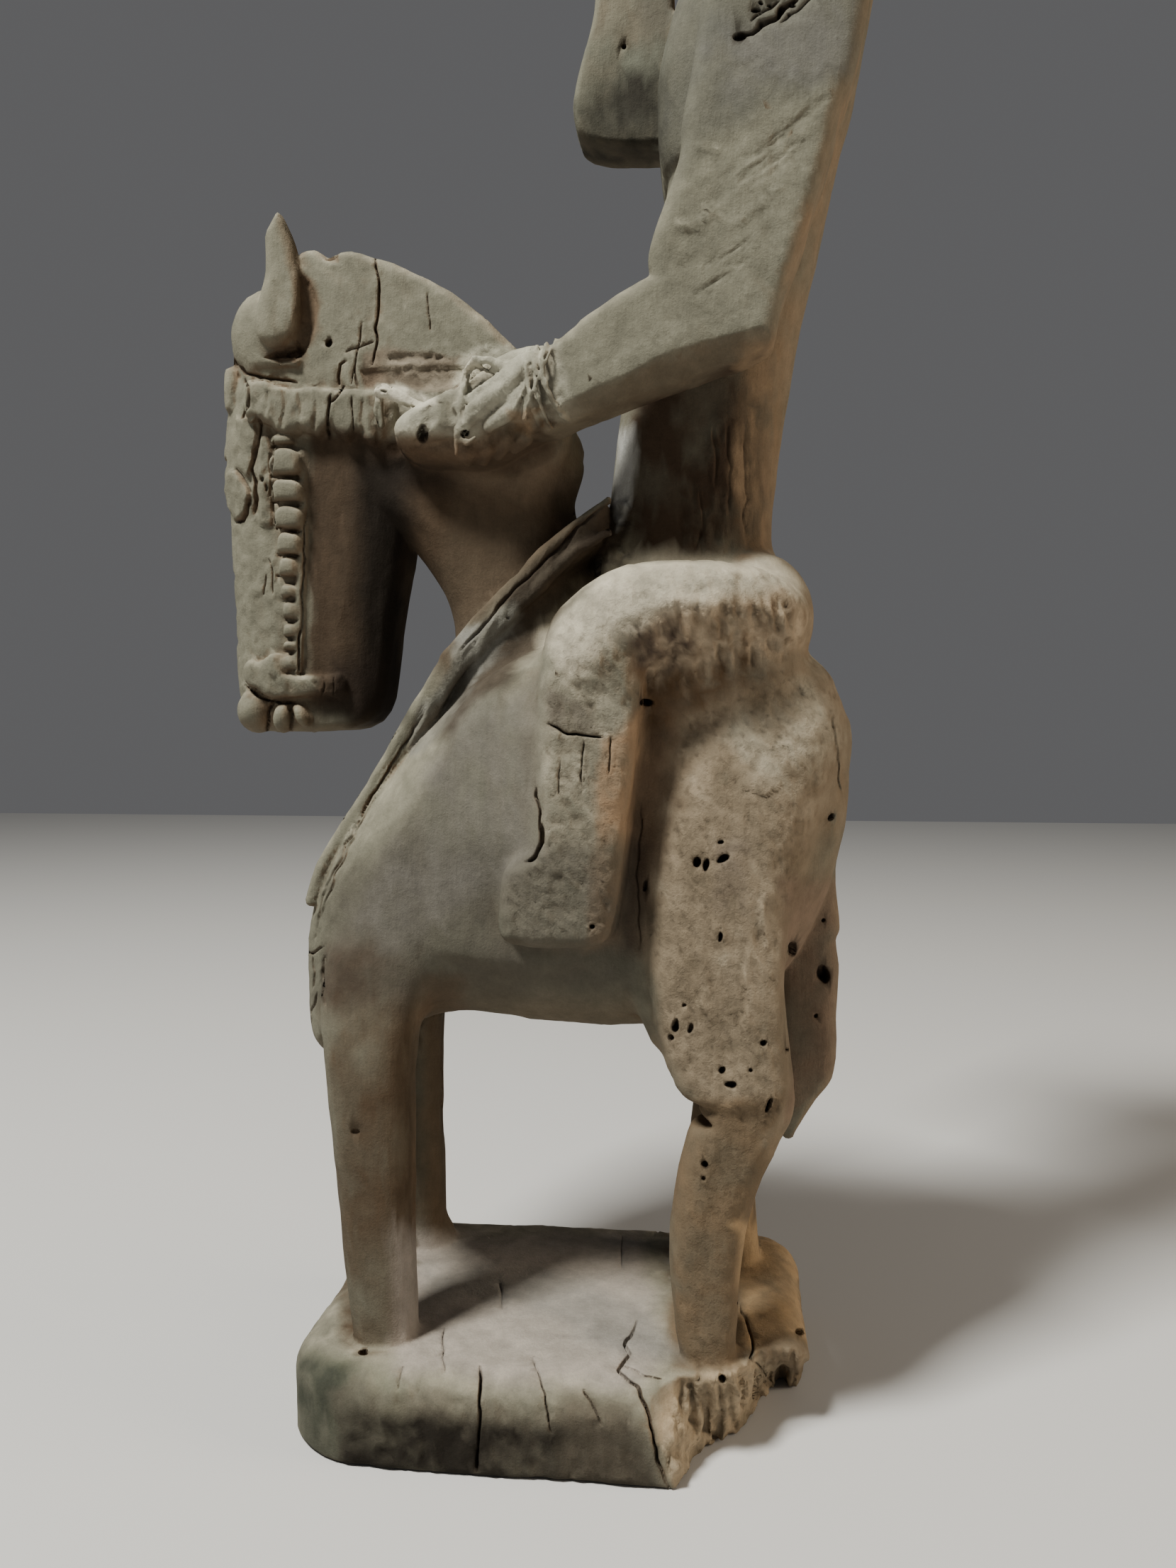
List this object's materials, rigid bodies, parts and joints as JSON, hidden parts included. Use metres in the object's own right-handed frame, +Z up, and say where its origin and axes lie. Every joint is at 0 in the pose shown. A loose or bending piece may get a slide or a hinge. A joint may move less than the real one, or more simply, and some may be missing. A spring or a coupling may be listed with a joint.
{
  "type": "equestrian statuette",
  "caption": "Carved wooden statuette of a rider on a standing horse, one arm raised and one hand at the reins, carved in one block with a low plinth, weathered and cracked.",
  "frame": {"origin": "centre of the plinth's underside", "axes": "+Z up along the figure, the horse looks along -X, the rider's lowered arm and the broken plinth corner are towards -Y"},
  "size_m": [0.2798, 0.152, 0.7],
  "materials": {
    "weathered_wood": "bare matte weathered hardwood, dusty grey-brown, with dark checks and insect holes"
  },
  "bodies": {
    "root": {"equestrian_statuette": "weathered_wood"}
  },
  "joints": []
}
